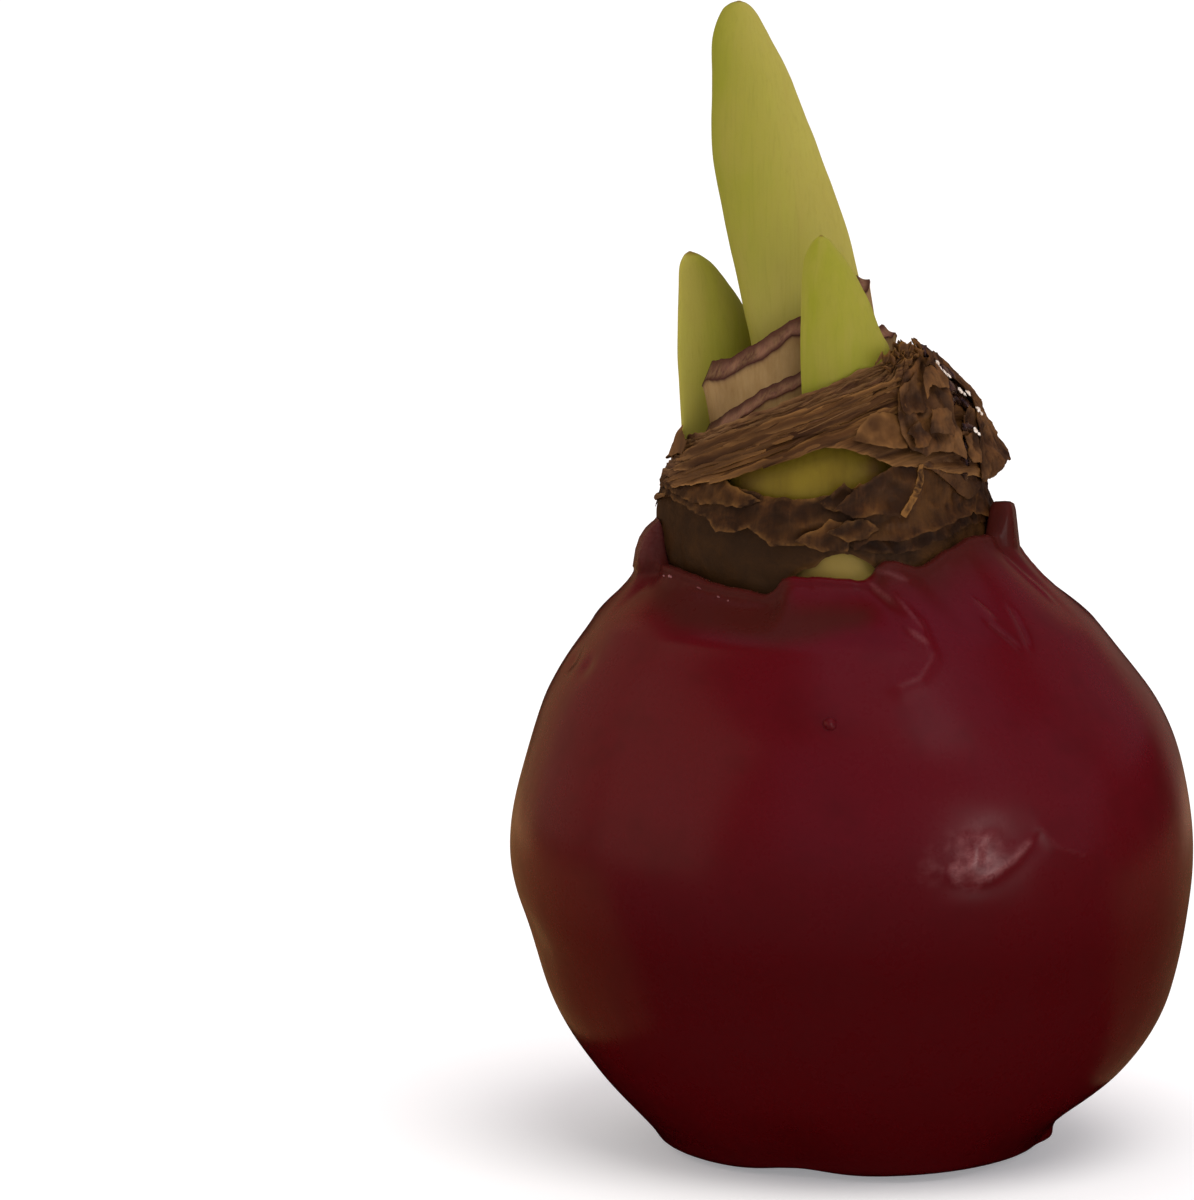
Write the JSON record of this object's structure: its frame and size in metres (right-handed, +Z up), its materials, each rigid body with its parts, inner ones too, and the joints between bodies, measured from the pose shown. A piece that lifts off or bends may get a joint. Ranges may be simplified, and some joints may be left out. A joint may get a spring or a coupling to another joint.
{
  "type": "waxed amaryllis bulb",
  "caption": "Amaryllis bulb in a dark red wax coat, with torn papery neck tunics, cut cream scales and young green shoots; stands on its flat wax foot.",
  "frame": {"origin": "middle of the flat foot of the wax coat, on the surface that the bulb stands on", "axes": "+Z up along the bulb, -Y the front, +X the right-hand side seen from the front; the shoots lean towards -X"},
  "size_m": [0.096, 0.096, 0.161],
  "materials": {
    "wax": "satin",
    "flesh": "satin",
    "wet_tunic": "satin",
    "dry_tunic": "matte",
    "cut_edges": "matte",
    "hood": "satin",
    "cut_scale": "matte",
    "shoot": "satin",
    "leaf": "satin"
  },
  "bodies": {
    "root": {"wax_coat": "wax", "bulb_body": "flesh", "wet_tunic": "wet_tunic", "torn_tunic": "dry_tunic", "upper_tunic": "dry_tunic", "cut_ring": "cut_edges", "hood_flap": "hood", "front_scale": "cut_scale", "inner_scale": "cut_scale", "back_scale": "cut_scale", "tall_shoot": "shoot", "left_leaf": "leaf", "front_leaf": "leaf"}
  },
  "joints": []
}
